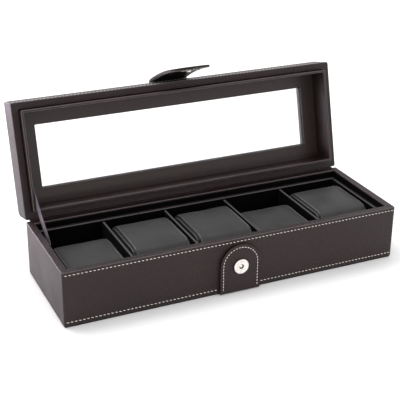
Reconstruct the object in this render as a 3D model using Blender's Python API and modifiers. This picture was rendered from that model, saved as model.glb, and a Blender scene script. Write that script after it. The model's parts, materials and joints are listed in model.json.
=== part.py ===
"""Watch box with five compartments, a windowed lid on a leather hinge, and a snap strap.

Frame: metres, +X along the box, -Y towards the front, +Z up. The origin is the middle of the
underside. Lid pieces are laid out in the closed position, under an empty on the hinge line that
then opens them; the strap hangs under a second empty on the lid's front top edge.
"""

import math

import bmesh
import bpy
from mathutils import Matrix, Vector

# Driving dimensions
LENGTH = 0.330
WIDTH = 0.108
BASE_HEIGHT = 0.053
LID_HEIGHT = 0.027
LID_OPEN = math.radians(104.4)
GAP = 0.0003  # clearance between touching pieces

# Walls: leatherette outside and inside of a board
SKIN = 0.0009
BOARD = 0.0041
WALL = BOARD + 2 * (SKIN + GAP)
FOLD_DEPTH = 0.011  # how far the leatherette folds down inside a rim
BOTTOM_FELT = 0.0008
FELT_INSET = 0.001
BOTTOM_BOARD = 0.0030

# Velvet insert
LINER = 0.0026
FLOOR_LINER = 0.0012
LINER_TOP = 0.045
DIVIDER = 0.0022
DIVIDER_TOP = 0.044
COMPARTMENTS = 5

# Lid
LID_RIM = BASE_HEIGHT + GAP
LID_TOP = LID_RIM + LID_HEIGHT
TOP_BOARD = 0.0035
GLASS = 0.0020
INNER_PANEL = 0.0020
FRAME_WIDTH = 0.0242  # lid edge to window edge
GLASS_OVERLAP = 0.006
BACK_RADIUS = 0.007
FRONT_RADIUS = 0.002
LIP_OFFSET = WALL + 0.0007  # the lip clears the base's wall
LIP = 0.0024
LIP_DROP = 0.0065

# Hinge strip on the back; it bends halfway through its thickness
HINGE_STRIP = 0.0008
HINGE_LEAF = 0.016
HINGE_INSET = 0.004  # from each end of the box
HINGE_SLIT = 0.0006  # each leaf ends this far from the line, so that they clear each other when folded

# Front tongue and closure strap
TONGUE_WIDTH = 0.040
TONGUE_TOP = 0.048
TONGUE_FOOT = 0.0008
TONGUE_LAYER = 0.0012
BACKING_INSET = 0.0006  # the backing is cut this much smaller than the leather
SNAP_Z = 0.0265
SNAP_RADIUS = 0.0080
SNAP_DEPTH = 0.0017
SNAP_HOLE = 0.0024
SNAP_ROUNDING = 0.0006
SNAP_WALL = 0.0005
WASHER_RADIUS = 0.0072
MAGNET_HOLE = 0.0030
STUD_PLATE = 0.0006
STUD_RADIUS = 0.0075
STUD_POST_RADIUS = 0.0020
STUD_POST = 0.0012
STUD_CHAMFER = 0.0004
STRAP_OUTER = 0.0011
STRAP_LINING = 0.0009
STRAP_THICKNESS = STRAP_OUTER + GAP + STRAP_LINING
STRAP_ROOT_LENGTH = 0.024
STRAP_BENDS = 8
STRAP_SLIT = 0.0002  # between the strap and its root, which the bend bridges
LINING_INSET = 0.0004  # the lining is cut this much smaller than the leather
STRAP_LIFT = math.radians(5.5)  # how far the free strap stands off its snapped position

# Ribbon stay
RIBBON = 0.0005
RIBBON_WIDTH = 0.010
RIBBON_LID_Y = 0.018
RIBBON_LID_DEPTH = 0.0075  # how far inside the lid's rim it is held
RIBBON_FOOT_Y = 0.0135
RIBBON_FOOT_DROP = 0.001  # how far below the insert's top it is held

# Cushions
CUSHION = Vector((0.0576, 0.068, 0.0355))
CUSHION_ROUNDING = 0.010
RAISE = 0.0065  # how much higher the wedged cushions sit
RAISED_Y = 0.002
LYING_Y = -0.006

HALF_L = LENGTH / 2
HALF_W = WIDTH / 2
FRONT = -HALF_W
FLOOR = BOTTOM_FELT + GAP + BOTTOM_BOARD + GAP + FLOOR_LINER
HINGE_LINE = Vector((0, HALF_W + GAP + HINGE_STRIP / 2, BASE_HEIGHT + GAP / 2))
STRAP_AXIS = Vector((0, FRONT - 0.0016, LID_TOP + GAP + STRAP_THICKNESS / 2))
WINDOW = Vector((HALF_L - FRAME_WIDTH, HALF_W - FRAME_WIDTH))  # half sizes

homes = {None: Vector((0, 0, 0))}  # where each pivot stands with the lid closed and the strap snapped


def clear_scene():
    for obj in list(bpy.data.objects):
        bpy.data.objects.remove(obj, do_unlink=True)


def collection(name, hidden=False):
    made = bpy.data.collections.new(name)
    bpy.context.scene.collection.children.link(made)
    made.hide_render = hidden
    return made


def material(name, color, roughness, metallic=0.0, alpha=1.0):
    made = bpy.data.materials.new(name)
    made.use_nodes = True
    shader = made.node_tree.nodes["Principled BSDF"]
    shader.inputs["Base Color"].default_value = (*color, 1)
    shader.inputs["Roughness"].default_value = roughness
    shader.inputs["Metallic"].default_value = metallic
    shader.inputs["Alpha"].default_value = alpha
    made.diffuse_color = (*color, alpha)
    return made


def pivot(name, home, parent=None, turn=0.0):
    """An empty on a joint's axis. turn is about -X, which opens the lid and lifts the strap."""
    empty = bpy.data.objects.new(name, None)
    parts.objects.link(empty)
    homes[empty] = home
    empty.parent = parent
    empty.location = home - homes[parent]
    empty.rotation_euler.x = -turn
    return empty


def place(obj, at, mat, parent):
    """Puts a mesh object at a closed-box position under its pivot."""
    obj.data.materials.append(mat)
    parts.objects.link(obj)
    obj.parent = parent
    obj.location = at - homes[parent]
    return obj


def box_mesh(name, size):
    bm = bmesh.new()
    bmesh.ops.create_cube(bm, size=1, matrix=Matrix.Diagonal((*size, 1)))
    mesh = bpy.data.meshes.new(name)
    bm.to_mesh(mesh)
    bm.free()
    return mesh


def box(name, low, high, mat, parent=None):
    low, high = Vector(low), Vector(high)
    obj = bpy.data.objects.new(name, box_mesh(name, high - low))
    return place(obj, (low + high) / 2, mat, parent)


def outline_mesh(name, points, depth, axis):
    """A flat outline given in the plane square to axis, extruded by depth, centred on the plane."""
    curve = bpy.data.curves.new(name, "CURVE")
    curve.dimensions = "2D"
    curve.fill_mode = "BOTH"
    curve.extrude = depth / 2
    line = curve.splines.new("POLY")
    line.points.add(len(points) - 1)
    for point, (u, v) in zip(line.points, points):
        point.co = (u, v, 0, 1)
    line.use_cyclic_u = True
    guide = bpy.data.objects.new(name + "_outline", curve)
    cutters.objects.link(guide)
    graph = bpy.context.evaluated_depsgraph_get()
    mesh = bpy.data.meshes.new_from_object(guide.evaluated_get(graph))
    bpy.data.objects.remove(guide)
    turn = {
        "X": Matrix(((0, 0, 1, 0), (1, 0, 0, 0), (0, 1, 0, 0), (0, 0, 0, 1))),
        "Y": Matrix(((1, 0, 0, 0), (0, 0, -1, 0), (0, 1, 0, 0), (0, 0, 0, 1))),
        "Z": Matrix.Identity(4),
    }[axis]
    bm = bmesh.new()
    bm.from_mesh(mesh)
    bmesh.ops.remove_doubles(bm, verts=bm.verts, dist=1e-6)
    bmesh.ops.transform(bm, matrix=turn, verts=bm.verts)
    bmesh.ops.recalc_face_normals(bm, faces=bm.faces)
    bm.to_mesh(mesh)
    bm.free()
    return mesh


def prism(name, points, low, high, axis, mat, parent=None):
    """An outline extruded from low to high along axis."""
    obj = bpy.data.objects.new(name, outline_mesh(name, points, high - low, axis))
    along = {"X": Vector((1, 0, 0)), "Y": Vector((0, 1, 0)), "Z": Vector((0, 0, 1))}[axis]
    return place(obj, along * (low + high) / 2, mat, parent)


def arc(centre, radius, start, end, steps=6):
    """Points along an arc, angles in degrees, anticlockwise when end is over start."""
    angles = [math.radians(start + (end - start) * i / steps) for i in range(steps + 1)]
    return [(centre[0] + radius * math.cos(a), centre[1] + radius * math.sin(a)) for a in angles]


def helper(name, mesh, at, parent):
    """A hidden object for a Boolean."""
    obj = bpy.data.objects.new(name, mesh)
    cutters.objects.link(obj)
    obj.parent = parent
    obj.location = at - homes[parent]
    obj.hide_render = True
    obj.display_type = "WIRE"
    return obj


def boolean(obj, other, operation):
    modifier = obj.modifiers.new(operation.title(), "BOOLEAN")
    modifier.operation = operation
    modifier.object = other
    modifier.solver = "EXACT"


def cut_box(obj, low, high, parent=None):
    low, high = Vector(low), Vector(high)
    mesh = box_mesh(obj.name + "_cutter", high - low)
    boolean(obj, helper(mesh.name, mesh, (low + high) / 2, parent), "DIFFERENCE")


def turned(name, profile, closed, at, mat, parent=None, steps=32):
    """A profile of (radius, height) turned about local Z, then aimed along -Y."""
    mesh = bpy.data.meshes.new(name)
    count = len(profile)
    edges = [(i, i + 1) for i in range(count - 1)] + ([(count - 1, 0)] if closed else [])
    mesh.from_pydata([(r, 0, h) for r, h in profile], edges, [])
    obj = place(bpy.data.objects.new(name, mesh), at, mat, parent)
    obj.rotation_euler.x = math.radians(90)
    screw = obj.modifiers.new("Screw", "SCREW")
    screw.steps = steps
    screw.render_steps = steps
    screw.use_merge_vertices = True
    screw.merge_threshold = 0.00001
    screw.use_smooth_shade = True
    return obj


def folded_cover(name, outer, inner, foot, fold, low, high):
    """Leatherette up one long face of the base, over its rim and back down inside to fold."""
    side = math.copysign(SKIN, inner - outer)
    under = BASE_HEIGHT - SKIN
    points = [
        (outer, foot), (outer, BASE_HEIGHT), (inner, BASE_HEIGHT), (inner, fold),
        (inner - side, fold), (inner - side, under), (outer + side, under), (outer + side, foot),
    ]
    return prism(name, points, low, high, "X", LEATHERETTE)


clear_scene()
parts = collection("watch_box")
cutters = collection("watch_box_cutters", hidden=True)

LEATHERETTE = material("leatherette", (0.045, 0.033, 0.031), 0.45)
FIBREBOARD = material("fibreboard", (0.36, 0.24, 0.14), 0.8)
VELVET = material("velvet", (0.006, 0.006, 0.007), 0.9)
FELT = material("felt", (0.02, 0.02, 0.022), 0.95)
CUSHION_CLOTH = material("cushion_cloth", (0.075, 0.075, 0.078), 0.6)
CLEAR = material("window", (0.95, 0.97, 0.97), 0.02, alpha=0.25)
NICKEL = material("nickel", (0.8, 0.78, 0.74), 0.2, metallic=1.0)
MAGNET = material("magnet", (0.12, 0.12, 0.13), 0.5, metallic=1.0)
RIBBON_CLOTH = material("ribbon", (0.17, 0.14, 0.165), 0.5)

lid = pivot("lid_pivot", HINGE_LINE, turn=LID_OPEN)
strap = pivot("strap_pivot", STRAP_AXIS, lid, turn=STRAP_LIFT)


def make_base():
    inset = SKIN + GAP
    board_foot = BOTTOM_FELT + GAP + BOTTOM_BOARD + GAP
    board_top = BASE_HEIGHT - inset
    felt_x, felt_y = HALF_L - FELT_INSET, HALF_W - FELT_INSET
    box("bottom_felt", (-felt_x, -felt_y, 0), (felt_x, felt_y, BOTTOM_FELT), FELT)
    box(
        "bottom_board",
        (-HALF_L + inset, FRONT + inset, BOTTOM_FELT + GAP),
        (HALF_L - inset, HALF_W - inset, BOTTOM_FELT + GAP + BOTTOM_BOARD),
        FIBREBOARD,
    )
    cover_foot = BOTTOM_FELT + GAP
    fold = BASE_HEIGHT - FOLD_DEPTH
    for end, sign in (("front", -1), ("back", 1)):
        face = sign * (HALF_W - inset)
        near = sign * (HALF_W - inset - BOARD)
        box(
            f"{end}_board",
            (-HALF_L + inset, min(face, near), board_foot),
            (HALF_L - inset, max(face, near), board_top),
            FIBREBOARD,
        )
        folded_cover(
            f"{end}_cover", sign * HALF_W, sign * (HALF_W - WALL), cover_foot, fold,
            -HALF_L + inset, HALF_L - inset,
        )
    span = HALF_W - WALL - GAP
    for end, sign in (("left", -1), ("right", 1)):
        face = sign * (HALF_L - inset)
        near = sign * (HALF_L - inset - BOARD)
        low, high = sorted((face, near))
        box(f"{end}_board", (low, -span, board_foot), (high, span, board_top), FIBREBOARD)
        plate = box(
            f"{end}_cover",
            (min(sign * HALF_L, sign * (HALF_L - SKIN)), FRONT, cover_foot),
            (max(sign * HALF_L, sign * (HALF_L - SKIN)), HALF_W, BASE_HEIGHT),
            LEATHERETTE,
        )
        add_end_fold(plate, sign, BASE_HEIGHT, fold, None)


def add_end_fold(plate, sign, rim, fold, parent):
    """The part of an end cover that lies on the rim and folds down inside, between the long covers."""
    outer, inner = sign * HALF_L, sign * (HALF_L - WALL)
    side = -sign * SKIN
    lift = math.copysign(SKIN, fold - rim)
    points = [
        (outer, rim), (inner, rim), (inner, fold), (inner - side, fold), (inner - side, rim + lift),
        (outer, rim + lift),
    ]
    reach = HALF_W - WALL - GAP
    mesh = outline_mesh(plate.name + "_fold", points, 2 * reach, "Y")
    boolean(plate, helper(mesh.name, mesh, Vector((0, 0, 0)), parent), "UNION")


def make_insert():
    out_x = HALF_L - WALL - GAP
    out_y = HALF_W - WALL - GAP
    in_x, in_y = out_x - LINER, out_y - LINER
    low = FLOOR - FLOOR_LINER
    wall_low = FLOOR + GAP
    box("floor_liner", (-out_x, -out_y, low), (out_x, out_y, FLOOR), VELVET)
    box("front_liner", (-out_x, -out_y, wall_low), (out_x, -in_y, LINER_TOP), VELVET)
    box("back_liner", (-out_x, in_y, wall_low), (out_x, out_y, LINER_TOP), VELVET)
    box("left_liner", (-out_x, -in_y + GAP, wall_low), (-in_x, in_y - GAP, LINER_TOP), VELVET)
    box("right_liner", (in_x, -in_y + GAP, wall_low), (out_x, in_y - GAP, LINER_TOP), VELVET)
    slot = (2 * in_x - (COMPARTMENTS - 1) * DIVIDER) / COMPARTMENTS
    for i in range(1, COMPARTMENTS):
        left = -in_x + i * slot + (i - 1) * DIVIDER
        low, high = (left, -in_y + GAP, wall_low), (left + DIVIDER, in_y - GAP, DIVIDER_TOP)
        box(f"divider_{i}", low, high, VELVET)
    return in_x, slot


def make_cushions(in_x, slot):
    """Cushions 1 and 4 lie on the floor, towards the front; the others are wedged higher."""
    for i in range(COMPARTMENTS):
        raised = i in (1, 2, 4)
        size = CUSHION
        x = -in_x + slot / 2 + i * (slot + DIVIDER)
        y = RAISED_Y if raised else LYING_Y
        z = FLOOR + GAP + size.z / 2 + (RAISE if raised else 0)
        obj = bpy.data.objects.new(f"cushion_{i + 1}", box_mesh(f"cushion_{i + 1}", size))
        place(obj, Vector((x, y, z)), CUSHION_CLOTH, None)
        bevel = obj.modifiers.new("Bevel", "BEVEL")
        bevel.width = CUSHION_ROUNDING
        bevel.segments = 3


def tongue_outline(inset):
    """Straight sides from the foot up to a half-round top, inset all round but at the foot."""
    radius = TONGUE_WIDTH / 2
    centre = (0, TONGUE_TOP - radius)
    return [(-radius + inset, TONGUE_FOOT), (radius - inset, TONGUE_FOOT)] + arc(
        centre, radius - inset, 0, 180, 20
    )


def make_tongue():
    """A backing layer and a leather layer on the front, with the snap's socket in its middle."""
    back = FRONT - GAP
    middle = back - TONGUE_LAYER - GAP
    face = middle - TONGUE_LAYER
    outline = tongue_outline(BACKING_INSET)
    backing = prism("tongue_backing", outline, back - TONGUE_LAYER, back, "Y", FELT)
    round_hole = arc((0, SNAP_Z), WASHER_RADIUS + GAP, 0, 345, 23)
    hole = outline_mesh("washer_pocket", round_hole, 3 * TONGUE_LAYER, "Y")
    pocket = helper("washer_pocket", hole, Vector((0, back - TONGUE_LAYER / 2, 0)), None)
    boolean(backing, pocket, "DIFFERENCE")
    prism("tongue_leather", tongue_outline(0), face, middle, "Y", LEATHERETTE)
    ring = [
        (WASHER_RADIUS, TONGUE_LAYER), (WASHER_RADIUS, 0), (MAGNET_HOLE, 0), (MAGNET_HOLE, TONGUE_LAYER),
    ]
    turned("snap_washer", ring, True, Vector((0, back, SNAP_Z)), NICKEL)
    foot = face - GAP
    deep = SNAP_DEPTH - SNAP_WALL
    edge = SNAP_ROUNDING
    cup = [
        (SNAP_HOLE, SNAP_DEPTH - edge / 3), (SNAP_HOLE + edge, SNAP_DEPTH), (SNAP_RADIUS - edge, SNAP_DEPTH),
        (SNAP_RADIUS - edge / 3, SNAP_DEPTH - edge / 3), (SNAP_RADIUS, SNAP_DEPTH - edge), (SNAP_RADIUS, 0),
        (SNAP_RADIUS - SNAP_WALL, 0), (SNAP_RADIUS - SNAP_WALL, deep), (SNAP_HOLE, deep),
    ]
    turned("snap_socket", cup, True, Vector((0, foot, SNAP_Z)), NICKEL)
    magnet_top, magnet_foot = deep - GAP, 0.0001
    magnet_rim = SNAP_RADIUS - SNAP_WALL - GAP
    magnet = [
        (magnet_rim, magnet_top), (magnet_rim, magnet_foot),
        (MAGNET_HOLE, magnet_foot), (MAGNET_HOLE, magnet_top),
    ]
    turned("snap_magnet", magnet, True, Vector((0, foot, SNAP_Z)), MAGNET)
    return foot - SNAP_DEPTH


def wrap_outline():
    """Section of the lid's long cover: up inside the front rim, over the top, down to the back rim."""
    outer = [(FRONT + WALL, LID_RIM + FOLD_DEPTH), (FRONT + WALL, LID_RIM), (FRONT, LID_RIM)]
    outer += arc((FRONT + FRONT_RADIUS, LID_TOP - FRONT_RADIUS), FRONT_RADIUS, 180, 90, 3)
    outer += arc((HALF_W - BACK_RADIUS, LID_TOP - BACK_RADIUS), BACK_RADIUS, 90, 0)
    outer += [(HALF_W, LID_RIM), (HALF_W - WALL, LID_RIM), (HALF_W - WALL, LID_RIM + FOLD_DEPTH)]
    inner = [(HALF_W - WALL + SKIN, LID_RIM + FOLD_DEPTH), (HALF_W - WALL + SKIN, LID_RIM + SKIN)]
    inner += [(HALF_W - SKIN, LID_RIM + SKIN)]
    inner += arc((HALF_W - BACK_RADIUS, LID_TOP - BACK_RADIUS), BACK_RADIUS - SKIN, 0, 90)
    inner += arc((FRONT + FRONT_RADIUS, LID_TOP - FRONT_RADIUS), FRONT_RADIUS - SKIN, 90, 180, 3)
    inner += [(FRONT + SKIN, LID_RIM + SKIN), (FRONT + WALL - SKIN, LID_RIM + SKIN)]
    inner += [(FRONT + WALL - SKIN, LID_RIM + FOLD_DEPTH)]
    return outer + inner


def end_outline():
    """The lid's end face."""
    return (
        [(HALF_W, LID_RIM), (FRONT, LID_RIM)]
        + arc((FRONT + FRONT_RADIUS, LID_TOP - FRONT_RADIUS), FRONT_RADIUS, 180, 90, 3)
        + arc((HALF_W - BACK_RADIUS, LID_TOP - BACK_RADIUS), BACK_RADIUS, 90, 0)
    )


def make_lid():
    inset = SKIN + GAP
    rim = LID_RIM + inset
    under_top = LID_TOP - inset - TOP_BOARD
    wall_top = under_top - GAP
    outer_x, outer_y = HALF_L - inset, HALF_W - inset
    inner_y = outer_y - BOARD
    cut = Vector((0, 0, LID_HEIGHT))

    box("lid_front_board", (-outer_x, -outer_y, rim), (outer_x, -inner_y, wall_top), FIBREBOARD, lid)
    centre = (HALF_W - BACK_RADIUS, LID_TOP - BACK_RADIUS)
    radius = BACK_RADIUS - inset
    reach = math.degrees(math.acos((inner_y - centre[0]) / radius))
    back = [(inner_y, rim), (outer_y, rim)] + arc(centre, radius, 0, reach, 5)
    prism("lid_back_board", back, -outer_x, outer_x, "X", FIBREBOARD, lid)
    for end, sign in (("left", -1), ("right", 1)):
        low, high = sorted((sign * outer_x, sign * (outer_x - BOARD)))
        span = HALF_W - WALL - GAP
        box(f"lid_{end}_board", (low, -span, rim), (high, span, wall_top), FIBREBOARD, lid)
        low, high = sorted((sign * HALF_L, sign * (HALF_L - SKIN)))
        plate = prism(f"lid_{end}_cover", end_outline(), low, high, "X", LEATHERETTE, lid)
        add_end_fold(plate, sign, LID_RIM, LID_RIM + FOLD_DEPTH, lid)

    window_low = Vector((-WINDOW.x, -WINDOW.y, LID_RIM))
    window_high = Vector((WINDOW.x, WINDOW.y, LID_TOP))
    top = box(
        "lid_top_board", (-outer_x, -outer_y + FRONT_RADIUS - inset, under_top),
        (outer_x, inner_y - GAP, LID_TOP - inset), FIBREBOARD, lid,
    )
    cut_box(top, window_low, window_high + cut, lid)
    wrap = prism("lid_wrap", wrap_outline(), -outer_x, outer_x, "X", LEATHERETTE, lid)
    cut_box(wrap, window_low + cut / 2, window_high + cut, lid)

    glass_x, glass_y = WINDOW.x + GLASS_OVERLAP, WINDOW.y + GLASS_OVERLAP
    glass_top = under_top - GAP
    box(
        "window_pane", (-glass_x, -glass_y, glass_top - GLASS), (glass_x, glass_y, glass_top), CLEAR, lid,
    )
    panel_top = glass_top - GLASS - GAP
    panel_low = panel_top - INNER_PANEL
    panel_x, panel_y = outer_x - BOARD - GAP, inner_y - GAP
    panel = box(
        "lid_inner_panel", (-panel_x, -panel_y, panel_low), (panel_x, panel_y, panel_top), LEATHERETTE, lid,
    )
    cut_box(panel, window_low, window_high + cut, lid)

    lip_x, lip_y = HALF_L - LIP_OFFSET, HALF_W - LIP_OFFSET
    lip_low, lip_high = LID_RIM - LIP_DROP, panel_low - GAP
    for end, sign in (("front", -1), ("back", 1)):
        low, high = sorted((sign * lip_y, sign * (lip_y - LIP)))
        box(f"lip_{end}", (-lip_x, low, lip_low), (lip_x, high, lip_high), LEATHERETTE, lid)
    for end, sign in (("left", -1), ("right", 1)):
        low, high = sorted((sign * lip_x, sign * (lip_x - LIP)))
        side = lip_y - LIP - GAP
        box(f"lip_{end}", (low, -side, lip_low), (high, side, lip_high), LEATHERETTE, lid)


def make_hinge():
    """A leatherette strip down the back, in two leaves that meet at the line where it bends."""
    low_y = HALF_W + GAP
    high_y = low_y + HINGE_STRIP
    reach = HALF_L - HINGE_INSET
    line = HINGE_LINE.z
    low, high = (-reach, low_y, line - HINGE_LEAF), (reach, high_y, line - HINGE_SLIT)
    box("hinge_leaf_base", low, high, LEATHERETTE)
    low, high = (-reach, low_y, line + HINGE_SLIT), (reach, high_y, line + HINGE_LEAF)
    box("hinge_leaf_lid", low, high, LEATHERETTE, lid)


def strap_bow(middle_y):
    """The strap's slant as it leaves its axis, and its length from there to the snap, where it is upright."""
    drop = STRAP_AXIS.z - SNAP_Z
    slant = 2 * math.atan2(STRAP_AXIS.y - middle_y, drop)
    return slant, drop * slant / math.sin(slant)


def bend_strap(mesh, slant, run):
    """Bends a flat strap, drawn hanging in the plane y = 0 from z = 0, along its bow."""
    bm = bmesh.new()
    bm.from_mesh(mesh)
    for i in range(1, STRAP_BENDS + 1):
        everything = bm.verts[:] + bm.edges[:] + bm.faces[:]
        cut = (0, 0, -run * i / STRAP_BENDS)
        bmesh.ops.bisect_plane(bm, geom=everything, plane_co=cut, plane_no=(0, 0, 1))
    for vert in bm.verts:
        along, off = -vert.co.z, -vert.co.y
        angle = slant * max(0.0, 1 - along / run)
        y = -(math.cos(angle) - math.cos(slant)) * run / slant
        z = -(math.sin(slant) - math.sin(angle)) * run / slant - max(0.0, along - run)
        vert.co.y = y - off * math.cos(angle)
        vert.co.z = z + off * math.sin(angle)
    bmesh.ops.triangulate(bm, faces=bm.faces)
    bm.to_mesh(mesh)
    bm.free()


def strap_layer(name, inset, near, far, middle_y, mat):
    """One layer of the strap, between two distances outward from its middle."""
    slant, run = strap_bow(middle_y)
    radius = TONGUE_WIDTH / 2
    points = [(radius - inset, 0), (-radius + inset, 0)] + arc((0, -run), radius - inset, 180, 360, 20)
    mesh = outline_mesh(name, points, far - near, "Y")
    mesh.transform(Matrix.Translation((0, -(near + far) / 2, 0)))
    bend_strap(mesh, slant, run)
    return place(bpy.data.objects.new(name, mesh), STRAP_AXIS, mat, strap)


def make_strap(socket_face):
    """socket_face is the y of the snap socket's face, which the stud's plate meets."""
    inner = socket_face - GAP - STUD_PLATE - GAP
    middle = inner - STRAP_THICKNESS / 2
    half = STRAP_THICKNESS / 2
    strap_layer("strap_leather", 0, half - STRAP_OUTER, half, middle, LEATHERETTE)
    strap_layer("strap_lining", LINING_INSET, -half, -half + STRAP_LINING, middle, LEATHERETTE)
    tip = STUD_PLATE + STUD_POST
    stud = [
        (0, tip), (STUD_POST_RADIUS - STUD_CHAMFER, tip), (STUD_POST_RADIUS, tip - STUD_CHAMFER),
        (STUD_POST_RADIUS, STUD_PLATE), (STUD_RADIUS, STUD_PLATE), (STUD_RADIUS, 0), (0, 0),
    ]
    stud_obj = turned("snap_stud", stud, False, Vector((0, inner + GAP, SNAP_Z)), NICKEL, strap)
    stud_obj.rotation_euler.x = math.radians(-90)
    top = LID_TOP + GAP
    root_end = STRAP_AXIS.y + half + STRAP_SLIT
    box(
        "strap_root", (-TONGUE_WIDTH / 2, root_end, top),
        (TONGUE_WIDTH / 2, root_end + STRAP_ROOT_LENGTH, top + STRAP_THICKNESS), LEATHERETTE, lid,
    )


def make_ribbon():
    """The stay, taut from the insert's left liner to the inside of the lid's left lip."""
    opening = Matrix.Rotation(-LID_OPEN, 4, "X")
    x = -HALF_L + LIP_OFFSET + LIP + GAP + RIBBON / 2
    held = Vector((x, RIBBON_LID_Y, LID_RIM + RIBBON_LID_DEPTH))
    top = HINGE_LINE + opening @ (held - HINGE_LINE)
    foot = Vector((x, RIBBON_FOOT_Y, LINER_TOP - RIBBON_FOOT_DROP))
    along = top - foot
    mesh = box_mesh("ribbon_stay", Vector((RIBBON, RIBBON_WIDTH, along.length)))
    obj = place(bpy.data.objects.new("ribbon_stay", mesh), (foot + top) / 2, RIBBON_CLOTH, None)
    obj.rotation_euler.x = math.atan2(-along.y, along.z)


make_base()
make_cushions(*make_insert())
socket_face = make_tongue()
make_lid()
make_hinge()
make_strap(socket_face)
make_ribbon()
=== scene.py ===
"""Watch box: leatherette, velvet, padded cushions, a nickel snap and a satin stay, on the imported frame.

Everything is in metres in the frame's own axes: +X along the box, -Y towards the front, +Z up.
Lid and strap pieces are drawn with the lid shut, then turned by OPEN to where they rest.
"""

import json
import math
import random

import bmesh
import bpy
from mathutils import Matrix, Vector, noise


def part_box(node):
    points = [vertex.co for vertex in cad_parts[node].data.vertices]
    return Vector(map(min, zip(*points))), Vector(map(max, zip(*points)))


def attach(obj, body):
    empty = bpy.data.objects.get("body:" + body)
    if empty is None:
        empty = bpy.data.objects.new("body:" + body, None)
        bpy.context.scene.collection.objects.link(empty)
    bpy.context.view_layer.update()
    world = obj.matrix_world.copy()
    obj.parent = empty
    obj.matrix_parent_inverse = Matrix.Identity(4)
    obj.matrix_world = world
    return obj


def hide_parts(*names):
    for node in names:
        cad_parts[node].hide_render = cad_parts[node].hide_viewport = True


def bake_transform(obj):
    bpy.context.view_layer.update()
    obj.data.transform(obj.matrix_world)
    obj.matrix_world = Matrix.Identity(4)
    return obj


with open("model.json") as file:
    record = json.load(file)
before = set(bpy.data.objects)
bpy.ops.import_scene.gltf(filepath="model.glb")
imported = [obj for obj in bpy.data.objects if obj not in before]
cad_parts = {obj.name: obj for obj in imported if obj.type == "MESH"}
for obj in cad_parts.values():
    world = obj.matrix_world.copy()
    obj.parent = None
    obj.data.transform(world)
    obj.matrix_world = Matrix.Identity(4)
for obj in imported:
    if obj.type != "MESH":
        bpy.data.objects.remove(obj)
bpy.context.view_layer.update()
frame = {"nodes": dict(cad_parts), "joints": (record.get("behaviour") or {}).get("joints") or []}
scene = bpy.context.scene
joints = {joint["name"]: joint for joint in frame["joints"]}

MM = 0.001

# Sizes that the CAD model's boxes don't give
SKIN = 0.9 * MM
WALL = 6.5 * MM
SNAP_Z = 26.5 * MM
LID_TOP = 80.3 * MM
BACK_RADIUS = 7 * MM
FRONT_RADIUS = 2 * MM
WINDOW = Vector((140.8 * MM, 29.8 * MM))
CORNER = 1.6 * MM  # vertical corners
RIM_ROUNDING = 0.7 * MM
FOLD_DEPTH = 11 * MM  # how far the leatherette is folded down inside the rims
REVEAL = 0.4 * MM  # leatherette that lines the window's edge
STRAP_LIFT = math.radians(5.5)
STRAP_RUN = 55.65 * MM  # strap length from its bend to the snap
STRAP_SLANT = math.radians(11.9)


def turn_about(point, degrees):
    """A turn about -X through a point."""
    spin = Matrix.Rotation(-math.radians(degrees), 4, "X")
    return Matrix.Translation(point) @ spin @ Matrix.Translation(-Vector(point))


HINGE = Vector(joints["lid_hinge"]["pos_m"])
OPEN = turn_about(HINGE, -joints["lid_hinge"]["range_deg"][0])
SHUT = OPEN.inverted()
STRAP_AXIS = SHUT @ Vector(joints["strap_bend"]["pos_m"])


def shut_box(node):
    """A lid node's lowest and highest corners with the lid shut."""
    points = [SHUT @ vert.co for vert in frame["nodes"][node].data.vertices]
    return Vector(map(min, zip(*points))), Vector(map(max, zip(*points)))


# ---------------------------------------------------------------- materials


def node(tree, kind, inputs=None, **settings):
    made = tree.nodes.new(kind)
    for key, value in settings.items():
        setattr(made, key, value)
    for key, value in (inputs or {}).items():
        if isinstance(value, bpy.types.NodeSocket):
            tree.links.new(value, made.inputs[key])
        else:
            made.inputs[key].default_value = value
    return made


def new_material(name, **sockets):
    made = bpy.data.materials.new(name)
    made.use_nodes = True
    shader = made.node_tree.nodes["Principled BSDF"]
    for key, value in sockets.items():
        shader.inputs[key.replace("_", " ")].default_value = value
    return made, made.node_tree, shader


def place_coordinates(tree, stretch=(1, 1, 1)):
    source = node(tree, "ShaderNodeTexCoord").outputs["Object"]
    return node(tree, "ShaderNodeMapping", {"Vector": source, "Scale": stretch}).outputs[0]


def speckle(tree, place, scale, detail=3.0, roughness=0.5):
    values = {"Vector": place, "Scale": scale, "Detail": detail, "Roughness": roughness}
    return node(tree, "ShaderNodeTexNoise", values).outputs["Fac"]


def remap(tree, value, from_min, from_max, to_min, to_max):
    values = {"Value": value, "From Min": from_min, "From Max": from_max}
    values.update({"To Min": to_min, "To Max": to_max})
    return node(tree, "ShaderNodeMapRange", values).outputs[0]


def mixed(tree, factor, a, b):
    """A colour between a and b."""
    made = node(tree, "ShaderNodeMix", data_type="RGBA")
    for index, value in ((0, factor), (6, a), (7, b)):
        if isinstance(value, bpy.types.NodeSocket):
            tree.links.new(value, made.inputs[index])
        else:
            made.inputs[index].default_value = value if index == 0 else (*value, 1)
    return made.outputs[2]


def bumped(tree, shader, height, strength, distance):
    bump = node(tree, "ShaderNodeBump", {"Height": height, "Strength": strength, "Distance": distance})
    tree.links.new(bump.outputs[0], shader.inputs["Normal"])


def total(tree, a, b, share):
    """a + b * share"""
    made = node(tree, "ShaderNodeMath", {0: b, 1: share, 2: a}, operation="MULTIPLY_ADD")
    return made.outputs[0]


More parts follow.
